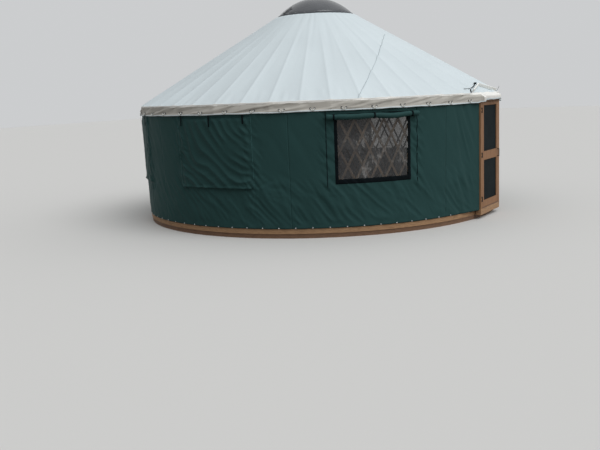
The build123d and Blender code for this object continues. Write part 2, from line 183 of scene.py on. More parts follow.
def lattice_value(i, j, seed):
    """A fixed random number from -1 to 1 for each whole pair."""
    n = (i * 374761393 + j * 668265263 + seed * 1274126177) & 0x7FFFFFFF
    n = ((n ^ (n >> 13)) * 1103515245 + 12345) & 0x7FFFFFFF
    n = ((n ^ (n >> 11)) * 69069 + 1) & 0x7FFFFFFF
    return ((n ^ (n >> 16)) & 0xFFFF) / 32767.5 - 1


def smooth_noise(x, y, seed, period=None):
    """Smooth random field from -1 to 1 with a grain of one unit, which may repeat along x."""
    i, j = np.floor(x).astype(np.int64), np.floor(y).astype(np.int64)
    u, v = x - i, y - j
    u, v = u * u * u * (u * (u * 6 - 15) + 10), v * v * v * (v * (v * 6 - 15) + 10)
    near, far = (i, i + 1) if period is None else (i % period, (i + 1) % period)
    low = lattice_value(near, j, seed) * (1 - u) + lattice_value(far, j, seed) * u
    high = lattice_value(near, j + 1, seed) * (1 - u) + lattice_value(far, j + 1, seed) * u
    return low * (1 - v) + high * v


def folds(s, z, lean, width, length, seed):
    """Soft folds that run at a lean from level, in degrees: s is along the cloth and z up it."""
    c, d = cos(radians(lean)), sin(radians(lean))
    along, across = (s * c + z * d) / length, (z * c - s * d) / width
    bend = 0.6 * smooth_noise(along * 0.7 + 5, across * 0.25, seed + 1)
    return smooth_noise(along, across + bend, seed)


def crested(field):
    """Crisp crests where a smooth field passes zero, and rounder troughs between them."""
    return 0.42 - np.sqrt(field ** 2 + 0.006)


def creases(s, z, lean, width, length, seed):
    """Folds with crisp crests."""
    return crested(folds(s, z, lean, width, length, seed))


def step(x, low, high):
    """Smooth rise from 0 to 1 between two values."""
    t = np.clip((x - low) / (high - low), 0, 1)
    return t * t * (3 - 2 * t)


def bump_at(x, middle, half_width):
    """Smooth bump of height 1 about a value."""
    return step(1 - np.abs(x - middle) / half_width, 0, 1)


# Mesh helpers

def new_object(name, points, faces, material, smooth=True):
    mesh = bpy.data.meshes.new(name)
    mesh.from_pydata([tuple(p) for p in points], [], faces)
    mesh.validate()
    mesh.materials.append(material)
    if smooth:
        mesh.polygons.foreach_set("use_smooth", [True] * len(mesh.polygons))
    obj = bpy.data.objects.new(name, mesh)
    bpy.context.scene.collection.objects.link(obj)
    return obj


def grid_faces(rows, columns, wrap=False, keep=None):
    """Faces of a grid of points stored row by row. keep says which cells stay."""
    faces = []
    for r in range(rows - 1):
        for c in range(columns if wrap else columns - 1):
            if keep is None or keep[r, c]:
                low, after = r * columns, (c + 1) % columns
                faces.append((low + c, low + after, low + columns + after, low + columns + c))
    return faces


def thicken(obj, thickness, offset=-1):
    """Real thickness for a sheet. The offset is -1 for inwards only and 0 for both ways."""
    shell = obj.modifiers.new("thickness", "SOLIDIFY")
    shell.thickness = thickness
    shell.offset = offset


def sheet_object(name, points, material, wrap=False, keep=None, thickness=cloth_thickness):
    """Cloth through a grid of points, an array of rows by columns by 3, with a real thickness."""
    rows, columns, _ = points.shape
    obj = new_object(name, points.reshape(-1, 3), grid_faces(rows, columns, wrap, keep), material)
    drop_loose_points(obj)
    if thickness:
        thicken(obj, thickness, 0)
    return obj


def drop_loose_points(obj):
    """Take out points that no face uses, as in a window."""
    used = {v for p in obj.data.polygons for v in p.vertices}
    if len(used) == len(obj.data.vertices):
        return
    mesh = bmesh.new()
    mesh.from_mesh(obj.data)
    mesh.verts.ensure_lookup_table()
    loose = [v for v in mesh.verts if not v.link_faces]
    bmesh.ops.delete(mesh, geom=loose, context="VERTS")
    mesh.to_mesh(obj.data)
    mesh.free()


class Parts:
    """Collects many small shapes into one mesh."""

    def __init__(self):
        self.points, self.faces = [], []

    def grid(self, points, wrap=False, caps=False):
        rows, columns, _ = points.shape
        start = len(self.points)
        self.points += [tuple(p) for p in points.reshape(-1, 3)]
        faces = grid_faces(rows, columns, wrap)
        if caps:
            faces += [tuple(range(columns))[::-1], tuple((rows - 1) * columns + c for c in range(columns))]
        self.faces += [tuple(start + v for v in face) for face in faces]

    def tube(self, line, radius, sides=8, flat=1.0, up=(0, 0, 1)):
        """Round or flattened bar along a line of points. flat is its height as a share of its width."""
        line = np.array([tuple(p) for p in line], float)
        along = np.gradient(line, axis=0)
        along /= np.linalg.norm(along, axis=1)[:, None]
        side = np.cross(along, np.array(up, float))
        side /= np.linalg.norm(side, axis=1)[:, None]
        top = np.cross(side, along)
        turns = np.linspace(0, 2 * pi, sides, endpoint=False) + pi / sides
        radius = np.broadcast_to(radius, len(line))
        ring = [line + (side * cos(t) + top * flat * sin(t)) * radius[:, None] for t in turns]
        self.grid(np.stack(ring, 1), wrap=True, caps=True)

    def button(self, centre, normal, radius, height, sides=10):
        """Low domed disc that stands on a surface."""
        normal = Vector(normal).normalized()
        a = normal.orthogonal().normalized()
        b = normal.cross(a)
        levels = ((1.0, 0.0), (1.0, 0.45), (0.8, 0.8), (0.35, 1.0))
        spokes = [a * cos(2 * pi * i / sides) + b * sin(2 * pi * i / sides) for i in range(sides)]
        rings = [
            [Vector(centre) + spoke * radius * share + normal * height * rise for spoke in spokes]
            for share, rise in levels
        ]
        self.grid(np.array([[tuple(p) for p in ring] for ring in rings]), wrap=True, caps=True)

    def object(self, name, material):
        return new_object(name, self.points, self.faces, material)


# Materials

def material(name, **values):
    """Principled material with constant values on the shader's own sockets."""
    m = bpy.data.materials.new(name)
    m.use_nodes = True
    shader = m.node_tree.nodes["Principled BSDF"]
    for key, value in values.items():
        shader.inputs[key.replace("_", " ")].default_value = value
    return m


def add_node(m, kind, inputs=None, **settings):
    n = m.node_tree.nodes.new(kind)
    for key, value in settings.items():
        setattr(n, key, value)
    for key, value in (inputs or {}).items():
        if isinstance(value, bpy.types.NodeSocket):
            m.node_tree.links.new(value, n.inputs[key])
        else:
            n.inputs[key].default_value = value
    return n


def object_space(m, scale=(1, 1, 1)):
    place = add_node(m, "ShaderNodeTexCoord")
    return add_node(m, "ShaderNodeMapping", {"Vector": place.outputs["Object"], "Scale": scale}).outputs[0]


def noise_of(m, scale, detail=3, stretch=(1, 1, 1), roughness=0.55):
    return add_node(
        m, "ShaderNodeTexNoise",
        {"Vector": object_space(m, stretch), "Scale": scale, "Detail": detail, "Roughness": roughness},
    ).outputs["Fac"]


def shades(m, factor, stops):
    """Colour ramp through (place, colour) stops."""
    ramp = add_node(m, "ShaderNodeValToRGB", {"Fac": factor})
    elements = ramp.color_ramp.elements
    while len(elements) < len(stops):
        elements.new(0.5)
    for element, (place, colour) in zip(elements, stops):
        element.position = place
        element.color = (*colour, 1)
    return ramp.outputs["Color"]


def feed(m, value, socket):
    """Link a value to a socket of the material's shader."""
    m.node_tree.links.new(value, m.node_tree.nodes["Principled BSDF"].inputs[socket])


def paint(m, colour):
    feed(m, colour, "Base Color")


def relief(m, height, strength, depth, under=None):
    """Bump from a height, in metres, on top of another bump."""
    inputs = {"Height": height, "Strength": strength, "Distance": depth}
    if under:
        inputs["Normal"] = under
    bump = add_node(m, "ShaderNodeBump", inputs).outputs["Normal"]
    feed(m, bump, "Normal")
    return bump


def gloss_range(m, factor, low, high):
    """Roughness between two values, by a factor."""
    rough = add_node(m, "ShaderNodeMapRange", {"Value": factor, "To Min": low, "To Max": high})
    feed(m, rough.outputs["Result"], "Roughness")


def tint(colour, share):
    return tuple(c * share for c in colour)


def weave(m, pitch):
    """Height of a plain weave, from threads across and up the cloth."""
    across, up = (
        add_node(
            m, "ShaderNodeTexWave",
            {"Vector": object_space(m, stretch), "Scale": 0.5 / pitch, "Distortion": 0.4},
            bands_direction=bands,
        ).outputs["Fac"]
        for stretch, bands in (((1, 1, 0.02), "DIAGONAL"), ((1, 1, 1), "Z"))
    )
    return add_node(m, "ShaderNodeMath", {0: across, 1: up}, operation="MAXIMUM").outputs[0]


def cloth_material(name, colour, roughness, mottle, weave_pitch, fleck=0.06, gloss=0.05):
    """Coated cloth. mottle is the scale of its clouds and fleck how far they shade it."""
    m = material(name, Roughness=roughness, Specular_IOR_Level=gloss)
    cloud = noise_of(m, mottle, detail=4)
    paint(m, shades(m, cloud, (
        (0.30, tint(colour, 1 - fleck)),
        (0.52, colour),
        (0.72, tint(colour, 1 + fleck)),
    )))
    threads = relief(m, weave(m, weave_pitch), 0.25, 0.0003)
    relief(m, noise_of(m, 14, detail=3), 0.35, 0.004, threads)
    gloss_range(m, noise_of(m, 5), roughness - 0.06, roughness + 0.08)
    return m


def wood_material(name, light, dark, grain, roughness=0.6):
    """Planed wood with its grain along one axis: grain gives the stretch of the texture."""
    m = material(name, Roughness=roughness, Specular_IOR_Level=0.3)
    streaks = noise_of(m, 9, detail=6, stretch=grain, roughness=0.65)
    paint(m, shades(m, streaks, ((0.32, dark), (0.52, tint(light, 0.86)), (0.70, light))))
    fine = noise_of(m, 60, detail=4, stretch=grain)
    relief(m, fine, 0.35, 0.0012)
    gloss_range(m, streaks, roughness - 0.08, roughness + 0.12)
    return m


green = (0.0275, 0.0715, 0.0705)
wall_cloth = cloth_material("wall_cloth", green, 0.55, 0.9, 0.0016)
flap_cloth = cloth_material("flap_cloth", tint(green, 0.96), 0.52, 1.1, 0.0016)
seam_vinyl = cloth_material("seam_vinyl", (0.47, 0.53, 0.55), 0.5, 0.7, 0.0014, fleck=0.03)
# Lighter green than the flaps: a painted highlight along the welts that cover the closed flaps' zips
welt_painted_highlight = cloth_material("welt_painted_highlight", tint(green, 1.7), 0.5, 1.1, 0.0016)
roof_vinyl = cloth_material("roof_vinyl", (0.632, 0.707, 0.740), 0.45, 0.7, 0.0014, fleck=0.03)
# Paler than the roof's cloth: a painted highlight on the rounded eave, the valance's ends by the door and
# the rain bar
painted_highlight_vinyl = cloth_material("painted_highlight_vinyl", (0.85, 0.85, 0.82), 0.45, 0.7, 0.0014, fleck=0.03)
# The valance is the roof's white vinyl, painted darker and beige as painted shade where it hangs under the
# eave
valance_painted_shade = cloth_material("valance_painted_shade", (0.50, 0.487, 0.447), 0.5, 2.0, 0.0014, fleck=0.05)
black_web = cloth_material("black_web", (0.006, 0.009, 0.011), 0.7, 8.0, 0.0012, gloss=0.03)
white_cord = cloth_material("white_cord", (0.72, 0.74, 0.72), 0.6, 20.0, 0.0012)

door_wood = wood_material("door_wood", (0.36, 0.190, 0.095), (0.19, 0.090, 0.042), (8, 8, 0.5))
lattice_wood = wood_material("lattice_wood", (0.52, 0.38, 0.25), (0.34, 0.23, 0.14), (5, 5, 1.2))
rafter_wood = wood_material("rafter_wood", (0.50, 0.36, 0.23), (0.33, 0.22, 0.13), (2, 2, 5))
rim_wood = wood_material("rim_wood", (0.47, 0.285, 0.155), (0.24, 0.13, 0.07), (1, 1, 14))
skirt_wood = wood_material("skirt_wood", (0.25, 0.145, 0.09), (0.12, 0.068, 0.043), (1, 1, 14))
deck_wood = wood_material("deck_wood", (0.42, 0.27, 0.15), (0.24, 0.14, 0.07), (8, 0.6, 8))


def clear_vinyl_material():
    """Clear sheet, with painted highlights in its base colour where it is crinkled."""
    m = material("clear_vinyl", Roughness=0.12, IOR=1.5)
    streaks = noise_of(m, 20, detail=6, stretch=(1, 1, 0.45), roughness=0.8)
    patches = noise_of(m, 1.7, detail=2)
    crinkle_glints = add_node(m, "ShaderNodeMath", {0: streaks, 1: patches}, operation="MULTIPLY").outputs[0]
    # The bright stop paints reflections of the sky along the crinkles into the base colour, a painted
    # highlight
    paint(m, shades(m, crinkle_glints, (
        (0.20, (0.046, 0.047, 0.050)),
        (0.34, (0.074, 0.075, 0.076)),
        (0.41, (0.26, 0.26, 0.26)),
    )))
    cloud = noise_of(m, 3.5, detail=5)
    haze = add_node(
        m, "ShaderNodeMapRange",
        {"Value": cloud, "From Min": 0.35, "From Max": 0.75, "To Min": 0.60, "To Max": 0.80},
    )
    feed(m, haze.outputs["Result"], "Alpha")
    relief(m, noise_of(m, 30, detail=4, stretch=(1, 1, 0.5)), 0.5, 0.004)
    return m


def smoked_plastic_material():
    """Smoked clear plastic: dark, glossy and hardly see-through."""
    m = material(
        "smoked_plastic", Roughness=0.16, IOR=1.49, Coat_Weight=0.4, Coat_Roughness=0.06, Alpha=0.90
    )
    paint(m, shades(m, noise_of(m, 2), ((0.3, (0.070, 0.076, 0.085)), (0.7, (0.105, 0.112, 0.122)))))
    relief(m, noise_of(m, 26, detail=5), 0.12, 0.002)
    return m


def screen_mesh_material():
    """Fine dark insect mesh."""
    m = material("screen_mesh", Roughness=0.7, Specular_IOR_Level=0.07, Alpha=0.95)
    paint(m, shades(m, noise_of(m, 2.5), ((0.3, (0.006, 0.010, 0.012)), (0.7, (0.012, 0.018, 0.020)))))
    relief(m, weave(m, 0.0018), 0.6, 0.0004)
    return m


def metal_material(name, colour, roughness, metallic=1.0):
    m = material(name, Metallic=metallic, Roughness=roughness)
    paint(m, shades(m, noise_of(m, 18), ((0.35, tint(colour, 0.8)), (0.65, tint(colour, 1.15)))))
    gloss_range(m, noise_of(m, 25, detail=5), roughness - 0.08, roughness + 0.1)
    relief(m, noise_of(m, 90, detail=3), 0.15, 0.0006)
    return m


clear_vinyl = clear_vinyl_material()
smoked_plastic = smoked_plastic_material()
screen_mesh = screen_mesh_material()
steel = metal_material("zinc_steel", (0.62, 0.63, 0.64), 0.36)
cable_steel = metal_material("cable_steel", (0.45, 0.46, 0.47), 0.4)
black_metal = metal_material("black_metal", (0.020, 0.020, 0.022), 0.45, metallic=0.6)
curb_metal = metal_material("curb_metal", (0.10, 0.11, 0.12), 0.5, metallic=0.5)


def finish_frame():
    """Materials of the frame's own nodes."""
    for finish, names in (
        (skirt_wood, "platform_skirt door_threshold"),
        (rim_wood, "platform_rim door_landing"),
        (deck_wood, "platform_joists platform_deck"),
        (lattice_wood, "lattice_1 lattice_2 lattice_3 lattice_4 lattice_5 lattice_6"),
        (cable_steel, "tension_cable"),
        (rafter_wood, "rafters centre_ring"),
        (curb_metal, "skylight_curb"),
        # The rain bar gets the paler eave cloth, a painted highlight on its shaded faces
        (painted_highlight_vinyl, "rain_bar"),
        (door_wood, "door_jamb_left door_jamb_right door_header door_leaf"),
        (screen_mesh, "upper_screen lower_screen"),
        (black_metal, "hinge_frame_plates hinge_leaf_plates door_handle"),
    ):
        for name in names.split():
            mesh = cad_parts[name].data
            mesh.materials.clear()
            mesh.materials.append(finish)


# Wall

def from_door(turn):
    """The same turn, counted from -180 to 180 degrees."""
    return (turn + 180) % 360 - 180


def wall_radius(turn, z):
    """Outer radius of the taut cover: round, and flat from flat_turn to the door frame's sides."""
    turn, z = np.broadcast_arrays(np.asarray(turn, float), np.asarray(z, float))
    round_part = foot_radius + (z - wall_foot) * wall_slope
    away = np.abs(from_door(turn))
    x0, y0 = round_part * sin(radians(flat_turn)), round_part * cos(radians(flat_turn))
    a = np.radians(away)
    across = np.cos(a) * (x0 - jamb_x) - np.sin(a) * (y0 - jamb_y) + 1e-9
    flat = (x0 * jamb_y - jamb_x * y0) / across
    return np.where(away < flat_turn, np.abs(flat), round_part)


def wall_arc(turn):
    """Length along the wall from the door's middle."""
    return radians(1) * foot_radius * turn


def point(turn, radius, z):
    """Points at turns from the door."""
    turn, radius, z = np.broadcast_arrays(turn, radius, z)
    a = np.radians(turn)
    return np.stack([radius * np.sin(a), -radius * np.cos(a), z], -1)


def wall_relief(turn, z):
    """How far the cover stands out from its taut shape: folds, drags and welted seams."""
    s = wall_arc(turn)
    h = 0.0035 * folds(s, z, -20, 0.45, 0.9, 11) + 0.0030 * folds(s, z, -62, 0.10, 0.7, 13)
    calm = 1 - 0.75 * bump_at(turn, calm_turn, calm_reach)
    low = calm * step(z, wall_foot + 0.02, wall_foot + 0.16) * (1 - step(z, 0.72, 1.25))
    h = h + 0.040 * low * creases(s, z, -46, 0.105, 0.6, 21) * (0.6 + 0.4 * smooth_noise(s / 0.8, z, 5))
    h = h + 0.006 * low * folds(s, z, -60, 0.04, 0.3, 23)
    risen, under_eave = step(z, flap_low - 0.25, flap_low), 1 - step(z, 2.1, 2.25)
    for middle in window_turns:
        for side in (-1, 1):
            off = wall_arc(turn - middle - side * flap_half_turn)
            near_seam = np.exp(-((off / 0.15) ** 2)) * risen * under_eave
            h = h + 0.030 * near_seam * creases(s, z, -54, 0.052, 0.26, 31 + side)
            welt = bump_at(wall_arc(turn - middle - side * (border_half_turn - 0.55)), 0, seam_width * 0.7)
            h = h + seam_rise * welt
    h = h + seam_rise * bump_at(z, seam_height, seam_width * 0.7)
    # Steep drags beside the door, and a fan of them from one lower corner of each closed flap
    near_door = np.abs(from_door(turn))
    beside_door = step(near_door, 9, 12) * (1 - step(near_door, 15, 21))
    h = h + 0.022 * beside_door * creases(s, z, -68, 0.10, 0.8, 27)
    for i, middle in enumerate(window_turns):
        if i not in open_windows:
            off, below = wall_arc(turn - middle - flap_half_turn), flap_low - z
            reach = np.hypot(off, below)
            fan = np.exp(-((reach / 0.45) ** 2)) * step(reach, 0.02, 0.10) * step(below, -0.25, 0.0)
            spokes = smooth_noise(np.arctan2(below, off) / 0.20, reach / 0.5, 37 + i)
            h = h + 0.022 * fan * crested(spokes)
    foot = (1 - step(z, wall_foot, wall_foot + 0.09)) * np.cos(radians(foot_screw_count) * turn)
    h = h + 0.0030 * foot * (1 + 0.5 * smooth_noise(s / 0.5, z, 7))
    # The folds stand out from the lattice, and the head lies flat under the valance
    taut = step(z, valance_foot - 0.01, valance_foot + 0.06)
    return np.maximum(h + 0.008, 0.0) * (1 - taut) + 0.001 * taut


def spread(breaks, pitch):
    """Values through all the breaks, about a pitch apart."""
    values = []
    for low, high in zip(breaks, breaks[1:]):
        count = max(1, round(abs(high - low) / pitch))
        values += list(np.linspace(low, high, count, endpoint=False))
    return np.array([*values, breaks[-1]])


def wall_panel(name, turns, window_turn=None):
    """One panel of the wall cover, with its window cut out."""
    zs = spread([wall_foot, seam_height, window_low, window_high, wall_head], 0.021)
    t, z = np.meshgrid(turns, zs)
    by_door = np.clip((flat_turn - np.abs(from_door(t))) / (flat_turn - flat_end_turn), 0, 1)
    lowered = by_door * (wall_head - valance_foot + 0.004) / (wall_head - wall_foot)
    z = wall_foot + (z - wall_foot) * (1 - lowered)
    radius = wall_radius(t, z) + wall_relief(t, z) * (1 - 0.85 * by_door)
    keep = None
    if window_turn is not None:
        middle_t, middle_z = (t[:-1, :-1] + t[1:, 1:]) / 2, (z[:-1, :-1] + z[1:, 1:]) / 2
        inside = np.abs(middle_t - window_turn) < window_half_turn
        keep = ~(inside & (middle_z > window_low) & (middle_z < window_high))
    obj = sheet_object(name + "_cloth", point(t, radius, z), wall_cloth, keep=keep)
    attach(obj, "yurt")
    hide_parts(name)


def wall_covers():
    for i, middle in enumerate(window_turns):
        w, p = window_half_turn, panel_half_turn
        turns = spread([middle - p, middle - w, middle + w, middle + p], 0.31)
        wall_panel(f"wall_cover_{i + 1}", turns, middle)
    jamb_turn = degrees(np.arctan2(jamb_x, jamb_y))
    wall_panel("wall_cover_door_left", spread([-panel_half_turn, -flat_turn, -jamb_turn], 0.36))
    right_turns = [turn - 360 for turn in (jamb_turn, flat_turn, panel_half_turn)]
    wall_panel("wall_cover_door_right", spread(right_turns, 0.36))


def foot_screws():
    """Washers and screws that hold the cover's foot to the rim."""
    washers = Parts()
    for i in range(foot_screw_count):
        turn = -1.9 - i * 360 / foot_screw_count
        if abs(from_door(turn)) < flat_turn:
            continue
        z = wall_foot + 0.012
        radius = float(wall_radius(turn, z)) + 0.0082
        a = radians(turn)
        normal = Vector((sin(a), -cos(a), 0))
        washers.button(normal * radius + Vector((0, 0, z)), normal, 0.011, 0.004)
        washers.button(normal * (radius + 0.003) + Vector((0, 0, z)), normal, 0.005, 0.005, 6)
    obj = washers.object("foot_screws", steel)
    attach(obj, "yurt")


# Windows

def window_fittings(i, middle):
    """Clear sheet of one window and the black border sewn round it."""
    pitch_turn, pitch_up = (0.14, 0.009) if i in open_windows else (0.8, 0.05)
    turns = spread([middle - window_half_turn + 0.01, middle + window_half_turn - 0.01], pitch_turn)
    t, z = np.meshgrid(turns, spread([window_low, window_high], pitch_up))
    s = wall_arc(t - middle)
    edge = np.minimum(1, np.minimum(
        wall_arc(window_half_turn) - np.abs(s), np.minimum(z - window_low, window_high - z)
    ) / 0.08)
    h = folds(s + i, z, -58, 0.05, 0.35, 41 + i) + 0.6 * folds(s, z, 35, 0.07, 0.4, 61 + i)
    crumpled = step(smooth_noise((s + 0.1) / 0.3, z / 0.28, 66 + i), 0.0, 0.5)
    crinkles = folds(s, z + i, -65, 0.022, 0.10, 71 + i) + 0.6 * folds(s, z, -30, 0.018, 0.06, 75 + i)
    h = h + 1.6 * crumpled * crinkles
    radius = wall_radius(t, z) - 0.0012 + 0.0048 * edge * np.maximum(h + 0.9, 0)
    pane = sheet_object(f"window_vinyl_{i + 1}", point(t, radius, z), clear_vinyl, thickness=0)
    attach(pane, "yurt")
    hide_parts("window_panes")
    border = Parts()
    w, b = window_half_turn, border_half_turn
    top = window_high + 0.02
    for low_turn, high_turn, low, high in (
        (-b, -w, window_low - border_depth, top),
        (w, b, window_low - border_depth, top),
        (-w, w, window_low - border_depth, window_low + 0.004),
        (-w, w, window_high - 0.004, top),
    ):
        turns = spread([middle + low_turn, middle + high_turn], 0.22)
        t, z = np.meshgrid(turns, spread([low, high], 0.018))
        radius = wall_radius(t, z) + wall_relief(t, z) + 0.005
        border.grid(point(t, radius, z))
    obj = border.object(f"window_border_{i + 1}", black_web)
    thicken(obj, web_thickness)
    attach(obj, "yurt")


def flap_folds(i, s, z):
    """Folds of a closed flap: swags round one upper corner, and puckers at its sides and foot."""
    side = 1 if i % 2 == 1 else -1
    half = wall_arc(flap_half_turn)
    reach = np.hypot(s * side - half * 1.1, (z - flap_high - 0.12) * 1.1)
    turn_about = np.arctan2(z - flap_high, s * side - half)
    drift = 0.55 * smooth_noise(s / 0.45, z / 0.45, 80 + i) + 0.8 * smooth_noise(s / 1.1, z / 1.1, 85 + i)
    swags = 1 - np.sqrt(np.sin(pi * (reach / fold_pitch + drift)) ** 2 + 0.004)
    strength = 0.55 + 0.45 * smooth_noise(reach / 0.2, turn_about * 2.2, 90 + i)
    broad = smooth_noise(reach / 0.3, turn_about, 95 + i)
    side_edge = np.exp(-(((half - np.abs(s)) / 0.24) ** 2))
    puckers = creases(s * side, z, -26, 0.050, 0.24, 101 + i) * side_edge
    foot_edge = np.exp(-(((z - flap_low) / 0.20) ** 2))
    level = creases(s, z, 6, 0.055, 0.40, 111 + i) * foot_edge
    return flap_slack[i] * (0.034 * swags * strength + 0.008 * broad + 0.016 * puckers + 0.014 * level)


def closed_flap(i, middle):
    """Flap that hangs over its window, held along its head and sides."""
    turns = spread([middle - flap_half_turn, middle + flap_half_turn], 0.25)
    t, z = np.meshgrid(turns, spread([flap_low, flap_high], 0.016))
    s = wall_arc(t - middle)
    to_side = wall_arc(flap_half_turn) - np.abs(s)
    held = step(to_side, 0, 0.10) * step(flap_high - z, 0, 0.06)
    radius = wall_radius(t, z) + wall_relief(t, z) + flap_stand_off
    free = 0.010 * held + held * flap_folds(i, s, z)
    hem = 0.004 * (1 - step(np.minimum(to_side, z - flap_low), 0.022, 0.034))
    uneven = 1 + 0.7 * smooth_noise(s / 0.16, z * 0, 121 + i)
    foot = 0.008 * (1 - step(z, flap_low, flap_low + 0.07)) * uneven
    radius = radius + np.maximum(free, 0.0) + hem + foot * step(to_side, 0, 0.05)
    obj = sheet_object(f"flap_cloth_{i + 1}", point(t, radius, z), flap_cloth, thickness=flap_thickness)
    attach(obj, "yurt")
    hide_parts("closed_flaps")


def rolled_flap(i, middle):
    """Flap wound into a loose roll that sags between its three straps."""
    turns = spread([middle - flap_half_turn, middle + flap_half_turn], 0.42)
    winds, per_wind = 6, 18
    wound = np.linspace(0, 1, winds * per_wind + 1)
    outer = (roll_high - roll_low) / 2 - 0.004
    rolled = np.sqrt(roll_core ** 2 + (outer ** 2 - roll_core ** 2) * wound)
    t, w = np.meshgrid(turns, wound)
    s = wall_arc(t - middle)
    rest = np.min([np.abs(s - wall_arc(turn)) for turn in strap_turns], axis=0)
    tied = np.exp(-((rest / 0.05) ** 2))
    swell = 1 - 0.13 * tied + 0.05 * smooth_noise(s / 0.13, w * 3, 131 + i)
    angle = 2 * pi * winds * w + 0.8 + 0.35 * smooth_noise(s / 0.5, w * 0, 141)
    r = rolled.reshape(-1, 1) * swell
    between = np.clip(np.abs(s) / wall_arc(strap_turns[-1]), 0, 1)
    sag = np.where(s > 0, 0.020, 0.008) * np.sin(pi * between) ** 2
    wrinkle = 0.0028 * folds(s, angle * 0.05, 20, 0.02, 0.14, 151 + i) * w
    z = roll_middle + 0.002 - sag + (r + wrinkle) * np.sin(angle) * 0.97
    centre = wall_radius(t, np.full_like(t, roll_middle)) + outer + roll_stand_off
    radius = centre + (r + wrinkle) * np.cos(angle)
    obj = sheet_object(f"rolled_flap_{i + 1}", point(t, radius, z), flap_cloth)
    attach(obj, "yurt")
    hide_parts("rolled_flaps")
    bands = Parts()
    for turn in strap_turns:
        place = middle + turn
        hub = float(wall_radius(place, roll_middle)) + outer + roll_stand_off
        loop = np.linspace(-0.15 * pi, 1.9 * pi, 30) + pi
        reach = outer * 0.90 + 0.004
        out, up = hub + reach * np.cos(loop), roll_middle + reach * np.sin(loop)
        bands.grid(np.stack([point(place + side * web_half_turn, out, up) for side in (-1, 1)], 0))
    obj = bands.object(f"roll_straps_{i + 1}", black_web)
    thicken(obj, roll_web_thickness)
    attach(obj, "yurt")


def flap_straps():
    """Straps that hang from under the valance at closed windows, and zip strips beside all windows."""
    straps = Parts()
    for i, middle in enumerate(window_turns):
        if i in open_windows:
            continue
        for k, turn in enumerate(strap_turns):
            place = middle + turn
            zs = np.linspace(flap_high + 0.09, 1.985 - 0.02 * ((i + k) % 3), 14)
            sway = 0.10 * smooth_noise(zs * 6, zs * 0 + place, 161)
            out = np.interp(zs, [1.96, 2.12, 2.20], [0.046, 0.042, 0.020])
            out += 0.003 * smooth_noise(zs * 9, zs * 0 + place, 162)
            radius = wall_radius(np.full_like(zs, place), zs) + out
            strip = [point(place + side * web_half_turn + sway, radius, zs) for side in (-1, 1)]
            straps.grid(np.stack(strip, 0))
    obj = straps.object("flap_straps", black_web)
    thicken(obj, web_thickness)
    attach(obj, "yurt")
    for name, closed, finish in (
        ("zip_strips_open", False, black_web),
        # Strips beside closed flaps are painted lighter, as a painted highlight on their welts
        ("zip_strips_closed", True, welt_painted_highlight),
    ):
        strips = Parts()
        for i, middle in enumerate(window_turns):
            if (i not in open_windows) != closed:
                continue
            for side in (-1, 1):
                edge = middle + side * (flap_half_turn + 0.16)
                zs = spread([flap_low, flap_high + 0.03], 0.03)
                t, z = np.meshgrid([edge - 0.09, edge - 0.05, edge + 0.05, edge + 0.09], zs)
                lift = np.broadcast_to([0.0005, 0.007, 0.007, 0.0005], t.shape)
                strips.grid(point(t, wall_radius(t, z) + wall_relief(t, z) + lift, z))
        obj = strips.object(name, finish)
        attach(obj, "yurt")


# Roof

def bay_past(turn):
    """Turn past the last rafter, and the radius of the bay's flat facet there as a share."""
    past = turn % bay_turn
    share = cos(radians(bay_turn / 2)) / np.cos(np.radians(past - bay_turn / 2))
    return past, share


def aside(turn):
    """Distance of the eave at a turn from the door's middle, or far_side at the back."""
    a = np.radians(turn)
    return np.where(np.cos(a) > 0, np.abs(eave_radius * np.sin(a)), far_side)


def roof_height(radius):
    return eave_height + (eave_radius - radius) * roof_slope


def roof_columns():
    """Turns of the cloth's columns at the eave: three on each rafter, and more between by the door."""
    edge = degrees(rafter_half_width / eave_radius)
    turns = []
    for k in range(bays):
        off = min(k, bays - 1 - k)
        between = 34 if off == 0 else 22 if off == 1 else 10
        turns += [k * bay_turn, *(k * bay_turn + np.linspace(edge, bay_turn - edge, between + 2))]
    return np.array(turns)


def slope_row(columns, radius):
    """One round of the roof's slope: it lies on the rafters, hangs between them and puckers by the eave."""
    past, _ = bay_past(columns)
    wide = degrees(rafter_half_width / eave_radius)
    in_bay = np.clip((past - wide) / (bay_turn - 2 * wide), 0, 1)
    hang = 4 * in_bay * (1 - in_bay)
    edge = min(degrees(rafter_half_width / radius), bay_turn * 0.30)
    turns = np.where(past > 1e-6, columns - past + edge + in_bay * (bay_turn - 2 * edge), columns)
    _, facet = bay_past(turns)
    around, level = turns / bay_turn, np.full(len(turns), radius)
    by_eave = float(step(radius, eave_radius - 0.55, eave_radius - 0.04))
    lift = (
        0.0040 * smooth_noise(around, level / 1.1, 201, bays) * hang
        + 0.0030 * smooth_noise(around * 3 + 0.9 * radius, level / 0.9, 203) * hang
        + 0.0085 * by_eave * smooth_noise(around * 7, level / 0.25, 205, bays * 7) * (0.35 + 0.65 * hang)
        + 0.0035 * by_eave * smooth_noise(around * 14, level / 0.12, 207, bays * 14)
        - bay_sag * (radius / eave_radius) ** 2 * hang * (1 - 0.45 * by_eave)
    )
    on_rafter = rafter_crest * (past < 1e-6) * step(radius, roof_top_radius + 0.4, roof_top_radius + 1.6)
    lift = np.where(hang < 0.02, np.maximum(lift, 0), lift) + rafter_clearance + on_rafter
    out, up = radius * facet + lift * sin(roof_pitch), roof_height(radius) + lift * cos(roof_pitch)
    return point(turns, out, up)


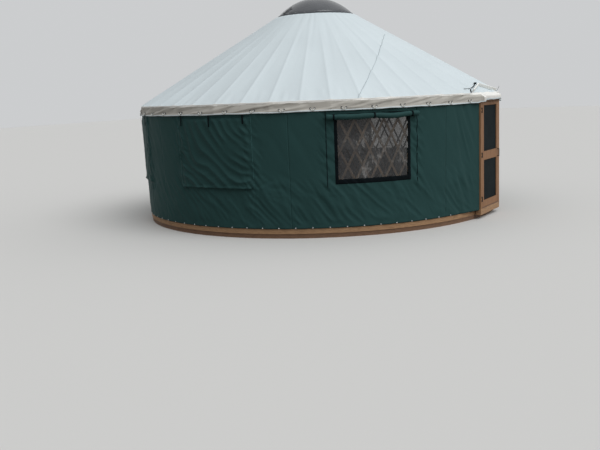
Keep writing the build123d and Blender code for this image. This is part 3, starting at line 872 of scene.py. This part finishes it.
def valance_row(columns, share):
    """One round of the hanging valance, a share of the way down it. Its ends lap over the door frame."""
    past, facet = bay_past(columns)
    around, level = columns / bay_turn, np.zeros(len(columns))
    beside = aside(columns)
    drop = eave_height - valance_foot - lap_rise * (1 - step(beside, frame_half, frame_half + 0.12))
    down = share * drop
    s = np.radians(columns) * eave_radius
    rucks = folds(s, -down, 9, 0.038, 0.6, 215) + 1.2 * creases(s, -down, 14, 0.030, 0.30, 217)
    wave = 0.009 * smooth_noise(around * 2, level, 211, bays * 2)
    wave += 0.006 * smooth_noise(around * 6, level, 213, bays * 6)
    tie_pull = bump_at(past, bay_turn / 2 + tie_shift, 1.5)
    out = (
        eave_round * (np.clip(down / eave_round, 0, 1) - 1)
        + valance_flare * 0.92 * share
        + wave * step(share, 0, 0.5)
        + 0.013 * rucks * step(share, 0.0, 0.2) * (1 - step(share, 0.80, 0.86))
        - 0.006 * tie_pull * step(share, 0.4, 0.9)
    )
    hem = np.clip(1 - np.abs(down - (drop - hem_depth / 2)) / (hem_depth / 2), 0, 1)
    radius = (eave_radius + out + 0.003 * np.sqrt(hem)) * facet
    radius = np.maximum(radius, head_radius + 0.006)
    # By the door the cloth runs on down the slope until it clears the frame, then hangs in front of it
    clear = (door_front + 0.010) / np.maximum(np.cos(np.radians(columns)), 0.5)
    near = 1 - step(beside, frame_half + 0.02, frame_half + 0.28)
    gathered = 1 - step(beside, lap_end + 0.06, lap_end + 0.16)
    gather = gather_depth * np.sin(2 * pi * beside / gather_pitch) * gathered * step(share, 0.1, 0.5)
    left_end = np.where(np.sin(np.radians(columns)) < 0, 1.0, 0.0)
    flicked = 1 - step(beside, lap_end + 0.02, lap_end + 0.11)
    flick = flick_out * left_end * flicked * step(share, 0.0, 0.4)
    lap = np.minimum(eave_radius * facet + down / roof_slope, clear + 0.006 + gather + flick)
    radius = radius + np.maximum(lap - radius, 0) * near
    z = eave_height + rafter_clearance * (1 - share) - down
    z = z + 0.004 * smooth_noise(around * 2, level, 219, bays * 2) * share
    return point(columns, radius, z)


def awning_row(columns, share):
    """One round of the awning, from the eave out to its turned-down front hem."""
    _, facet = bay_past(columns)
    shares, outs, rises = zip(*awning_path)
    radius = awning_radius + np.interp(share, shares, outs)
    ripple = smooth_noise(columns / bay_turn * 6, np.full(len(columns), share * 3.0), 221)
    z = roof_height(awning_radius) + np.interp(share, shares, rises) + 0.004 * ripple
    return point(columns, radius * facet + 0.003 * ripple * step(share, 0.6, 0.8), z)


def roof_cloth():
    """Cover, valance and awning as one cloth: lip, slope, rounded eave and hem."""
    columns = roof_columns()
    count = len(columns)
    _, facet = bay_past(columns)
    radii = spread([roof_top_radius, 1.6, 3.3, eave_radius - 0.05], 0.075)
    radii = [*radii, *np.linspace(eave_radius - 0.03, eave_radius - eave_round, 3)]
    rows = [point(columns, (roof_top_radius - inwards) * facet, roof_top) for inwards in (lip_width, 0.03)]
    rows += [slope_row(columns, radius) for radius in radii]
    hem_share = 1 - hem_depth / (eave_height - valance_foot)
    shares = [*np.linspace(0.0, 0.34, 16), *np.linspace(0.40, hem_share, 9)]
    shares += [*np.linspace(hem_share, 1, hem_rows)[1:]]
    beside = aside(columns)
    by_door = (1 - step(beside, lap_end - 0.02, lap_end + 0.02))[:, None]
    rows += [
        awning_row(columns, share) * by_door + valance_row(columns, share) * (1 - by_door)
        for share in shares
    ]
    obj = sheet_object("roof_cloth", np.stack(rows, 0), roof_vinyl, wrap=True)
    # Slots: the slope and hem show the roof's own cloth, then the valance darkened as painted shade and the
    # eave lightened as a painted highlight
    obj.data.materials.append(valance_painted_shade)
    obj.data.materials.append(painted_highlight_vinyl)
    first = len(rows) - len(shares)
    finish = [0] * len(obj.data.polygons)
    around = columns / bay_turn
    waves = 0.6 * smooth_noise(around, around * 0, 227, bays)
    waves += 0.4 * smooth_noise(around * 5, around * 0, 229, bays * 5)
    starts = (shade_line + 0.018 * waves) / (eave_height - valance_foot)
    # Rows above the wavy shade line, and the ends by the door, get the paler cloth as a painted highlight;
    # rows below it get the valance's painted shade
    for row in range(first - 1, len(rows) - hem_rows):
        for column in range(count):
            shaded = row >= first and shares[row - first] > starts[column]
            finish[row * count + column] = 1 if shaded and beside[column] > lap_end + bunch_width else 2
    obj.data.polygons.foreach_set("material_index", finish)
    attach(obj, "yurt")
    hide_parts("roof_cover", "roof_valance", "door_awning")
    slant = hypot(eave_radius - roof_top_radius, roof_top - eave_height)
    area = pi * (eave_radius + roof_top_radius) * slant
    area += 2 * pi * eave_radius * (eave_height - valance_foot) + 2 * pi * roof_top_radius * lip_width


def roof_seams():
    """Flat welds that run aslant across the bays of the cover, where its two lengths of cloth meet."""
    welds = Parts()
    for offset in (0, 180):
        ends = [
            Vector((radius * sin(radians(turn + offset)), -radius * cos(radians(turn + offset))))
            for turn, radius in weld_route
        ]
        line = []
        for start, end in zip(ends, ends[1:]):
            for share in np.linspace(0, 1, 28, endpoint=end is ends[-1]):
                spot = start.lerp(end, share)
                turn = degrees(np.arctan2(spot.x, -spot.y))
                radius = spot.length / float(bay_past(turn)[1])
                place = Vector(slope_row(np.array([turn]), radius)[0])
                line.append(place + Vector((0, 0, 0.003)))
        welds.tube(line, seam_width / 2, 6, flat=0.2, up=(0, sin(roof_pitch), cos(roof_pitch)))
    obj = welds.object("roof_seams", seam_vinyl)
    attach(obj, "yurt")


def on_roof(turn, setback, lift):
    """Point on the cover at a turn, a level distance in from the eave."""
    radius = eave_radius - setback
    lift = lift + rafter_clearance
    out, up = radius + lift * sin(roof_pitch), roof_height(radius) + lift * cos(roof_pitch)
    return Vector(point(turn, out, up))


def rain_bar_straps():
    """Webbing that ties the rain bar down: along the bar from its peak, then in two tails."""
    webbing = Parts()
    over_peak = [on_roof(-1.1, 0.270, 0.006), on_roof(-1.0, 0.255, 0.030), on_roof(-0.9, 0.235, 0.040)]
    webbing.tube(over_peak, 0.020, 6, flat=0.15, up=(1, 0, 0))
    for side in (-1, 1):
        for route in (shared_web, long_tail, short_tail):
            places = np.linspace(0, len(route) - 1, 14)
            turns, setbacks = (np.interp(places, range(len(route)), values) for values in zip(*route))
            line = [on_roof(side * turn, setback, 0.0035) for turn, setback in zip(turns, setbacks)]
            webbing.tube(line, webbing_half, 6, flat=0.16)
    # The right side's short tail stands up at its end and curls towards the door
    end = [on_roof(short_tail[-1][0], 0.012, 0.004 + rise) for rise in (0, 0.03, 0.07, 0.11)]
    end = [spot + Vector((-0.03 * n ** 1.5 / 5, 0, 0)) for n, spot in enumerate(end)]
    webbing.tube(end, webbing_half, 6, flat=0.2, up=(0, -1, 0))
    obj = webbing.object("rain_bar_straps", black_web)
    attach(obj, "yurt")


def valance_ties():
    """Cord laced through a pair of eyelets at each tie, seen as a short V on the valance."""
    cords, eyelets = Parts(), Parts()
    drop = eave_height - valance_foot
    for k in range(bays):
        turn = (k + 0.5) * bay_turn + tie_shift
        if aside(turn) < tie_gap:
            continue
        outwards = Vector((sin(radians(turn)), -cos(radians(turn)), 0))
        apart = degrees(eyelet_spacing / 2 / eave_radius) * (1 + 0.2 * lattice_value(k, 1, 7))
        *eyes, knot = [
            Vector(valance_row(np.array([turn + shift]), 1 - height / drop)[0])
            for shift, height in ((-apart, eyelet_rise), (apart, eyelet_rise), (0, knot_rise))
        ]
        for eye in eyes:
            eyelets.button(eye, outwards, 0.016, 0.010)
            line = [
                eye.lerp(knot, share) + outwards * (0.006 + 0.014 * sin(pi * share))
                for share in (n / 6 for n in range(7))
            ]
            cords.tube(line, 0.0065, 6)
    for parts, name, finish, slot in (
        (cords, "valance_cords", white_cord, "valance_fabric"),
        (eyelets, "valance_eyelets", black_metal, "black_metal"),
    ):
        obj = parts.object(name, finish)
        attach(obj, "yurt")


def skylight():
    """Smoked dome with a flat flange, screwed down on the curb."""
    rise = dome_top - dome_foot
    sphere = (dome_radius ** 2 + rise ** 2) / (2 * rise)
    lean = np.arcsin(dome_radius / sphere)
    angles = np.linspace(1, 0, 26) * lean
    flange = ((-0.045, 0.0005), (0.004, 0.0005), (0.004, 0.009), (-0.020, 0.010))
    profile = [(dome_radius + out, dome_foot + up) for out, up in flange]
    for a in angles[1:]:
        flatter = 1 - 0.02 * np.sin(a / lean * pi) ** 2
        profile.append((max(0.0008, sphere * np.sin(a) * flatter), dome_top - sphere * (1 - np.cos(a))))
    turns = np.linspace(0, 360, dome_sides, endpoint=False)
    rows = np.stack([point(turns, radius, z) for radius, z in profile], 0)
    faces = grid_faces(len(rows), dome_sides, wrap=True)
    obj = new_object("dome_shell", rows.reshape(-1, 3), faces, smoked_plastic)
    thicken(obj, dome_thickness)
    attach(obj, "yurt")
    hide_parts("skylight_dome")
    rib = Parts()
    line = []
    for share in np.linspace(0, 1, 12):
        lean_here = lean * (0.985 - 0.22 * share)
        out, up = sphere * np.sin(lean_here), dome_top - sphere * (1 - np.cos(lean_here))
        line.append(Vector(point(rib_turn + 10 * share, out + 0.008, up + 0.008)))
    rib.tube(line, 0.012, 6, flat=0.5)
    obj = rib.object("dome_bar", black_metal)
    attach(obj, "yurt")
    screws = Parts()
    ring = dome_radius - 0.008
    for i in range(dome_screw_count):
        a = 2 * pi * i / dome_screw_count
        spot = Vector((ring * cos(a), ring * sin(a), dome_foot + 0.0095))
        screws.button(spot, (0, 0, 1), 0.009, 0.006, 8)
    obj = screws.object("dome_screws", steel)
    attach(obj, "yurt")


# Studio

def seen_ray(m):
    """1 for rays that show the background itself: straight to the camera, mirrored or through glass."""
    rays = add_node(m, "ShaderNodeLightPath").outputs
    total = rays["Is Camera Ray"]
    for name in ("Is Glossy Ray", "Is Transmission Ray"):
        total = add_node(m, "ShaderNodeMath", {0: total, 1: rays[name]}, operation="MAXIMUM").outputs[0]
    return total


def studio():
    """Level floor, soft sky and sun."""
    floor_paint = material("floor_paint", Roughness=0.9, Specular_IOR_Level=0.1)
    shown = add_node(
        floor_paint, "ShaderNodeMix",
        {"A": (*floor_bounce, 1), "B": (*floor_colour, 1), "Factor": seen_ray(floor_paint)},
        data_type="RGBA",
    )
    paint(floor_paint, shown.outputs["Result"])
    corners = [(x * floor_half, y * floor_half, 0) for x, y in ((-1, -1), (1, -1), (1, 1), (-1, 1))]
    new_object("floor", corners, [(0, 1, 2, 3)], floor_paint, smooth=False)

    world = bpy.data.worlds.new("studio")
    bpy.context.scene.world = world
    world.use_nodes = True
    world.node_tree.nodes.clear()
    way = add_node(world, "ShaderNodeTexCoord").outputs["Generated"]
    brightest = Vector(sky_side).normalized()
    towards = add_node(world, "ShaderNodeVectorMath", {0: way, 1: brightest}, operation="DOT_PRODUCT")
    colour = shades(world, towards.outputs["Value"], ((0.0, sky_dark), (sky_bright_from, (1, 1, 1))))
    sky = add_node(world, "ShaderNodeBackground", {"Color": colour, "Strength": sky_strength})
    backdrop = add_node(world, "ShaderNodeBackground", {"Color": (*backdrop_colour, 1)})
    inputs = {0: seen_ray(world), 1: sky.outputs[0], 2: backdrop.outputs[0]}
    mix = add_node(world, "ShaderNodeMixShader", inputs)
    add_node(world, "ShaderNodeOutputWorld", {0: mix.outputs[0]})

    lamp = bpy.data.lights.new("key", "SUN")
    lamp.energy = key_strength
    lamp.angle = radians(key_angle)
    key = bpy.data.objects.new("key", lamp)
    bpy.context.scene.collection.objects.link(key)
    key.rotation_euler = Vector(key_side).to_track_quat("Z", "Y").to_euler()


def camera():
    lens = bpy.data.cameras.new("camera")
    lens.lens = camera_lens
    lens.sensor_width = sensor_width
    eye = bpy.data.objects.new("camera", lens)
    bpy.context.scene.collection.objects.link(eye)
    turn = (
        Matrix.Rotation(radians(camera_heading - 90), 4, "Z")
        @ Matrix.Rotation(radians(90 - camera_dip), 4, "X")
        @ Matrix.Rotation(-radians(camera_roll), 4, "Z")
    )
    eye.matrix_world = Matrix.Translation(camera_place) @ turn
    bpy.context.scene.camera = eye


camera()
studio()
finish_frame()
wall_covers()
foot_screws()
for number, window_turn in enumerate(window_turns):
    window_fittings(number, window_turn)
    if number in open_windows:
        rolled_flap(number, window_turn)
    else:
        closed_flap(number, window_turn)
flap_straps()
roof_cloth()
roof_seams()
rain_bar_straps()
valance_ties()
skylight()

bpy.context.scene.view_settings.view_transform = "Standard"
bpy.context.view_layer.update()
